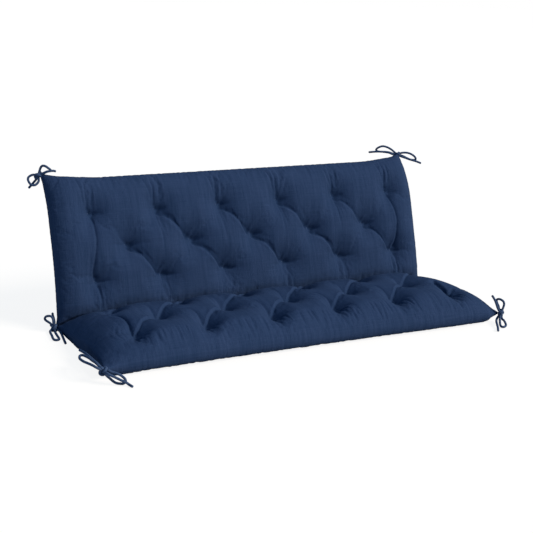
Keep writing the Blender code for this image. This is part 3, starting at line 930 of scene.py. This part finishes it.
CORD_SIDES = 24
CORD_STEP = 0.0012
CORD_END = 0.0025
CORD_START = 0.35 * KNOT_RADIUS
BRAID_STRANDS = 4
BRAID_PITCH = 0.017
BRAID_RELIEF = 0.07
BRAID_LEVEL = 0.75
TAPER_LEFT = 0.12
KNOT_SCALE = 0.0043
KNOT_CORD_RADIUS = 0.0047


def curve_through(route, spacing):
    """Evenly spaced points of a smooth curve through the points of a route, and its length."""
    fine = smooth_path(route, 16)
    run = np.concatenate([[0.0], np.cumsum(np.linalg.norm(np.diff(fine, axis=0), axis=1))])
    wanted = np.linspace(0, run[-1], max(3, round(run[-1] / spacing)) + 1)
    return np.stack([np.interp(wanted, run, fine[:, axis]) for axis in range(3)], -1), run[-1]


def carried_frames(points):
    """Two cross directions at each point of a line, carried along it with no twist."""
    tangents = unit(np.gradient(points, axis=0))
    across = np.cross(tangents[0], (0.3, 0.2, 0.9))
    firsts = []
    for tangent in tangents:
        across = unit(across - tangent * (across @ tangent))
        firsts.append(across)
    return np.array(firsts), np.cross(tangents, firsts)


def braid_relief(turn, length):
    """How far the braid's strands stand out, from 0 to 1, at a turn round the cord and a length."""
    one = np.cos(BRAID_STRANDS * (turn + 2 * math.pi * length / BRAID_PITCH))
    other = np.cos(BRAID_STRANDS * (turn - 2 * math.pi * length / BRAID_PITCH))
    return 0.5 + 0.5 * one * other


def tube_mesh(name, points, length, radius, end_taper=0.0):
    """A braided tube along points, closed at both ends, with UVs in turns and metres."""
    rings = len(points) - 1
    form, column, row = grid_form(CORD_SIDES, rings)
    first, second = carried_frames(points)
    turn = 2 * math.pi * column / CORD_SIDES
    at = length * row / rings
    size = radius * (1 + BRAID_RELIEF * (braid_relief(turn, at) - BRAID_LEVEL))
    if end_taper:
        left = np.clip((length - at) / end_taper + TAPER_LEFT, TAPER_LEFT, 1)
        size = size * np.sqrt(left)
    round_it = np.cos(turn)[:, None] * first[row] + np.sin(turn)[:, None] * second[row]
    lay_out(form, points[row] + size[:, None] * round_it, np.stack([column / CORD_SIDES, at], -1))
    bmesh.ops.remove_doubles(form, verts=form.verts, dist=0.00001)
    bmesh.ops.holes_fill(form, edges=[e for e in form.edges if e.is_boundary], sides=0)
    bmesh.ops.recalc_face_normals(form, faces=form.faces)
    return mesh_of(form, name)


def knot_middle(tie):
    side, t = tie["place"]
    corner = mat_points(vector([side * WIDTH / 2]), vector([t]), 1, vector([0.0]))[0]
    return corner + unit(tie["out"]) * (KNOT_RADIUS + KNOT_TO_SEAM)


def add_cord(name, middle, route, looped, look):
    """A loop or a tail of cord that leaves the knot inside it, along a route."""
    points = [middle + vector(point) / 1000 for point in route]
    points.insert(0, middle + unit(points[0] - middle) * CORD_START)
    if looped:
        points.append(middle + unit(points[-1] - middle) * CORD_START)
    line, length = curve_through(points, CORD_STEP)
    mesh = tube_mesh(name, line, length, CORD_DIAMETER / 2, 0.0 if looped else CORD_END)
    made = add_piece(name + "_cord", mesh, look, [name])


def add_knot(name, middle, out, look):
    """A closed knotted turn of the cord round the tie's crossing."""
    s = np.linspace(0, 2 * math.pi, 121)
    out = unit(out)
    side = unit(np.cross(out, (0, 0, 1) if abs(out[2]) < 0.8 else (0, 1, 0)))
    line = middle + KNOT_SCALE * (
        (np.sin(s) + 2 * np.sin(2 * s))[:, None] * side
        + (np.cos(s) - 2 * np.cos(2 * s))[:, None] * np.cross(side, out)
        + (-1.3 * np.sin(3 * s))[:, None] * out)
    length = np.linalg.norm(np.diff(line, axis=0), axis=1).sum()
    mesh = tube_mesh(name, line, length, KNOT_CORD_RADIUS)
    return add_piece(name + "_cord", mesh, look, [name])


def add_ties(look):
    for name, tie in TIES.items():
        middle = knot_middle(tie)
        knot = add_knot(f"tie_{name}_knot", middle, tie["out"], look)
        for piece in ("loop_a", "tail_a", "loop_b", "tail_b"):
            looped = piece.startswith("loop")
            add_cord(f"tie_{name}_{piece}", middle, tie[piece], looped, look)


# ---- materials

CLOTH_DARK = (0.0170, 0.0370, 0.0870, 1)
CLOTH_LIGHT = (0.0345, 0.0590, 0.1270, 1)
# A darker, bluer colour painted into the tufts' dents and the creases as painted shade
CLOTH_PAINTED_SHADE = (0.0115, 0.0320, 0.0830, 1)
CLOTH_SPECULAR = 0.1
# The cord's colours: the light one is painted on the braid's raised strands as painted highlight,
# the dark one in the grooves between them as painted shade and under the yarn's fuzz
CORD_DARK = (0.0300, 0.0560, 0.1180, 1)
CORD_LIGHT = (0.0800, 0.1200, 0.2150, 1)
CORD_SPECULAR = 0.2
CLOTH_ROUGHNESS = (0.82, 0.96)
CORD_ROUGHNESS = (0.72, 0.9)
CLOTH_FIBRES, CORD_FIBRES = 900.0, 700.0
FUZZ_SPAN = (0.3, 0.7)
FUZZ_SHADE = 0.5
SLUB_SPAN = (0.36, 0.64)
SLUB_HEIGHT, WEAVE_HEIGHT, STITCH_HEIGHT = 0.0007, 0.00025, 0.0006
STRAND_HEIGHT, FIBRE_HEIGHT = 0.0005, 0.00012
RELIEF, FIBRE_RELIEF = 0.8, 0.6
WEAVE_SHADE = 0.35
# How far the painted shade in the dents and creases goes towards its colour
HOLLOW_SHADE = 0.55
STITCH_SHINE = 0.7
THREADS_PER_METRE = 780.0
STITCH_INSET = 0.0055
STITCH_LENGTH = 0.0042
STITCH_SHARE = 0.72

# The yarn's unevenness: each layer's stretch, its detail and its share in the whole
YARN_LAYERS = (
    ((420, 11, 1), 2.0, 0.34),
    ((9, 460, 1), 2.0, 0.26),
    ((90, 7, 1), 1.0, 0.26),
    ((7, 7, 1), 2.0, 0.14),
)


class Net:
    """Short ways to add nodes to a node tree and wire them."""

    def __init__(self, tree):
        self.nodes, self.links = tree.nodes, tree.links

    def put(self, socket, value):
        if isinstance(value, bpy.types.NodeSocket):
            self.links.new(value, socket)
        else:
            socket.default_value = value

    def math(self, kind, first, second=None):
        node = self.nodes.new("ShaderNodeMath")
        node.operation = kind
        self.put(node.inputs[0], first)
        if second is not None:
            self.put(node.inputs[1], second)
        return node.outputs[0]

    def times(self, first, second):
        return self.math("MULTIPLY", first, second)

    def plus(self, first, second):
        return self.math("ADD", first, second)

    def noise(self, place, scale, detail):
        node = self.nodes.new("ShaderNodeTexNoise")
        self.put(node.inputs["Vector"], place)
        self.put(node.inputs["Scale"], scale)
        node.inputs["Detail"].default_value = detail
        return node.outputs["Fac"]

    def stretched(self, place, scale):
        node = self.nodes.new("ShaderNodeMapping")
        node.inputs["Scale"].default_value = scale
        self.put(node.inputs["Vector"], place)
        return node.outputs["Vector"]

    def ranged(self, value, low, high, to_low=0.0, to_high=1.0):
        node = self.nodes.new("ShaderNodeMapRange")
        for socket, given in zip(node.inputs, (value, low, high, to_low, to_high)):
            self.put(socket, given)
        return node.outputs[0]

    def blend(self, share, first, second):
        node = self.nodes.new("ShaderNodeMix")
        node.data_type = "RGBA"
        self.put(node.inputs[0], share)
        self.put(node.inputs[6], first)
        self.put(node.inputs[7], second)
        return node.outputs[2]

    def bump(self, height, distance, strength, under=None):
        node = self.nodes.new("ShaderNodeBump")
        node.inputs["Distance"].default_value = distance
        node.inputs["Strength"].default_value = strength
        self.put(node.inputs["Height"], height)
        if under is not None:
            self.put(node.inputs["Normal"], under)
        return node.outputs["Normal"]

    def parts(self, place):
        node = self.nodes.new("ShaderNodeSeparateXYZ")
        self.put(node.inputs[0], place)
        return node.outputs

    def group(self, tree, **values):
        node = self.nodes.new("ShaderNodeGroup")
        node.node_tree = tree
        for name, value in values.items():
            self.put(node.inputs[name.replace("_", " ")], value)
        return node.outputs

    def by_ray(self, unseen, seen, end):
        """Gives the camera's rays one shader and all other rays another."""
        mix = self.nodes.new("ShaderNodeMixShader")
        path = self.nodes.new("ShaderNodeLightPath")
        self.put(mix.inputs["Fac"], path.outputs["Is Camera Ray"])
        self.put(mix.inputs[1], unseen.outputs[0])
        self.put(mix.inputs[2], seen.outputs[0])
        self.put(end, mix.outputs["Shader"])


def new_material(name):
    made = bpy.data.materials.new(name)
    made.use_nodes = True
    net = Net(made.node_tree)
    return made, net, net.nodes["Principled BSDF"]


def yarn_group():
    """Yarn that varies in thickness and colour along and across a place in metres."""
    tree = bpy.data.node_groups.new("yarn", "ShaderNodeTree")
    for title, kind in (("Place", "NodeSocketVector"), ("Fibre Scale", "NodeSocketFloat")):
        tree.interface.new_socket(title, in_out="INPUT", socket_type=kind)
    for title in ("Slub", "Fuzz"):
        tree.interface.new_socket(title, in_out="OUTPUT", socket_type="NodeSocketFloat")
    net = Net(tree)
    given = net.nodes.new("NodeGroupInput").outputs
    out = net.nodes.new("NodeGroupOutput").inputs
    place = given["Place"]
    slub = 0.0
    for stretch, detail, share in YARN_LAYERS:
        layer = net.noise(net.stretched(place, stretch), 1.0, detail)
        slub = net.plus(slub, net.times(layer, share))
    net.put(out["Slub"], net.ranged(slub, *SLUB_SPAN))
    net.put(out["Fuzz"], net.noise(place, given["Fibre Scale"], 3.0))
    return tree


def weave(net, place):
    """The height of a plain weave of threads across and along a place in metres."""
    parts = net.parts(place)
    waves = [net.math("SINE", net.times(parts[axis], math.pi * THREADS_PER_METRE))
             for axis in (0, 1)]
    rounds = [net.math("ABSOLUTE", wave) for wave in waves]
    over = net.math("GREATER_THAN", net.times(*waves), 0.0)
    under = net.math("SUBTRACT", 1.0, over)
    return net.plus(net.times(rounds[0], over), net.times(rounds[1], under))


def stitch_row(net, place):
    """A row of stitches on each side of the fold, as a mask on the cloth."""
    parts = net.parts(place)
    off = net.math("SUBTRACT", net.math("ABSOLUTE", parts[1]), STITCH_INSET)
    row = net.ranged(net.math("ABSOLUTE", off), 0.0004, 0.0009, 1.0, 0.0)
    along = net.math("FRACT", net.math("DIVIDE", parts[0], STITCH_LENGTH))
    return net.times(row, net.math("LESS_THAN", along, STITCH_SHARE))


def cloth_look(yarn):
    made, net, shader = new_material("navy_cloth_look")
    place = net.nodes.new("ShaderNodeUVMap").outputs["UV"]
    threads = net.group(yarn, Place=place, Fibre_Scale=CLOTH_FIBRES)
    woven = weave(net, place)
    # Painted shade: the tufts' dents and the creases, as kept on the mesh, make the cloth's colour
    # darker and bluer
    painted_shade = net.nodes.new("ShaderNodeAttribute")
    painted_shade.attribute_name = "painted_shade"
    stitches = stitch_row(net, place)
    colour = net.blend(threads["Slub"], CLOTH_DARK, CLOTH_LIGHT)
    between = net.times(net.math("SUBTRACT", 1.0, woven), WEAVE_SHADE)
    colour = net.blend(between, colour, CLOTH_DARK)
    shade_share = net.times(painted_shade.outputs["Fac"], HOLLOW_SHADE)
    colour = net.blend(shade_share, colour, CLOTH_PAINTED_SHADE)
    colour = net.blend(net.times(stitches, STITCH_SHINE), colour, CLOTH_LIGHT)
    net.put(shader.inputs["Base Color"], colour)
    roughness = net.ranged(threads["Fuzz"], *FUZZ_SPAN, *CLOTH_ROUGHNESS)
    net.put(shader.inputs["Roughness"], roughness)
    shader.inputs["Specular IOR Level"].default_value = CLOTH_SPECULAR
    normal = net.bump(threads["Slub"], SLUB_HEIGHT, RELIEF)
    normal = net.bump(woven, WEAVE_HEIGHT, RELIEF, normal)
    net.put(shader.inputs["Normal"], net.bump(stitches, STITCH_HEIGHT, RELIEF, normal))
    return made


def cord_look(yarn):
    """A cord braided from strands that run round it both ways."""
    made, net, shader = new_material("navy_cord_look")
    place = net.nodes.new("ShaderNodeUVMap").outputs["UV"]
    parts = net.parts(place)
    turn = net.times(parts[0], 2 * math.pi * BRAID_STRANDS)
    run = net.times(parts[1], 2 * math.pi * BRAID_STRANDS / BRAID_PITCH)
    one = net.math("COSINE", net.plus(turn, run))
    other = net.math("COSINE", net.math("SUBTRACT", turn, run))
    strand = net.ranged(net.times(one, other), -1.0, 1.0)
    fibre = net.math("SINE", net.times(net.plus(turn, run), 3.0))
    fuzz = net.group(yarn, Place=place, Fibre_Scale=CORD_FIBRES)["Fuzz"]
    # Painted highlight and painted shade: the braid's raised strands are coloured lighter and the
    # grooves between them darker
    colour = net.blend(strand, CORD_DARK, CORD_LIGHT)
    colour = net.blend(net.times(fuzz, FUZZ_SHADE), colour, CORD_DARK)
    net.put(shader.inputs["Base Color"], colour)
    net.put(shader.inputs["Roughness"], net.ranged(fuzz, *FUZZ_SPAN, *CORD_ROUGHNESS))
    shader.inputs["Specular IOR Level"].default_value = CORD_SPECULAR
    normal = net.bump(strand, STRAND_HEIGHT, RELIEF)
    net.put(shader.inputs["Normal"], net.bump(fibre, FIBRE_HEIGHT, FIBRE_RELIEF, normal))
    return made


# ---- stage

FLOOR_SIZE = 30.0
FLOOR_DROP = 0.0005
FLOOR_COLOUR = (0.5, 0.5, 0.5, 1)
FLOOR_SEEN_COLOUR = (0.19, 0.17, 0.15, 1)
FLOOR_LIFT = 0.88
FILL_COLOUR = (0.50, 0.90, 1.38, 1)
FILL_STRENGTH = 0.28
KEY_FROM = (0.62, -0.55, 0.56)
KEY_STRENGTH = 3.1
KEY_SPREAD = 24
KEY_COLOUR = (1.0, 0.96, 0.90)
WHITE = (1, 1, 1, 1)


def add_floor():
    """A pale floor that looks nearly as white to the camera as what lies past it."""
    form = bmesh.new()
    bmesh.ops.create_grid(form, x_segments=1, y_segments=1, size=FLOOR_SIZE)
    floor = new_object("floor", mesh_of(form, "floor"))
    made, net, shader = new_material("floor_look")
    seen = net.nodes.new("ShaderNodeBsdfPrincipled")
    for each, colour in ((shader, FLOOR_COLOUR), (seen, FLOOR_SEEN_COLOUR)):
        each.inputs["Base Color"].default_value = colour
        each.inputs["Roughness"].default_value = 0.95
        each.inputs["Specular IOR Level"].default_value = 0.0
    seen.inputs["Emission Color"].default_value = WHITE
    seen.inputs["Emission Strength"].default_value = FLOOR_LIFT
    net.by_ray(shader, seen, net.nodes["Material Output"].inputs["Surface"])
    floor.data.materials.append(made)
    floor.location.z = -FLOOR_DROP


def add_surroundings():
    """White where the camera looks past the cushion, and a soft dim light on all of it."""
    world = bpy.data.worlds.new("studio")
    bpy.context.scene.world = world
    world.use_nodes = True
    net = Net(world.node_tree)
    fill = net.nodes["Background"]
    seen = net.nodes.new("ShaderNodeBackground")
    for each, colour, strength in ((fill, FILL_COLOUR, FILL_STRENGTH), (seen, WHITE, 1.0)):
        each.inputs["Color"].default_value = colour
        each.inputs["Strength"].default_value = strength
    net.by_ray(fill, seen, net.nodes["World Output"].inputs["Surface"])


def add_key():
    """One broad soft light from the upper right, in front of the cushion."""
    data = bpy.data.lights.new("key", "SUN")
    data.energy = KEY_STRENGTH
    data.angle = math.radians(KEY_SPREAD)
    data.color = KEY_COLOUR
    light = new_object("key", data)
    light.rotation_euler = Vector(KEY_FROM).to_track_quat("Z", "Y").to_euler()


add_camera()
yarn = yarn_group()
cord = cord_look(yarn)
add_ties(cord)
add_cushion(cloth_look(yarn), cord)
add_floor()
add_surroundings()
add_key()
bpy.context.scene.view_settings.view_transform = "Standard"
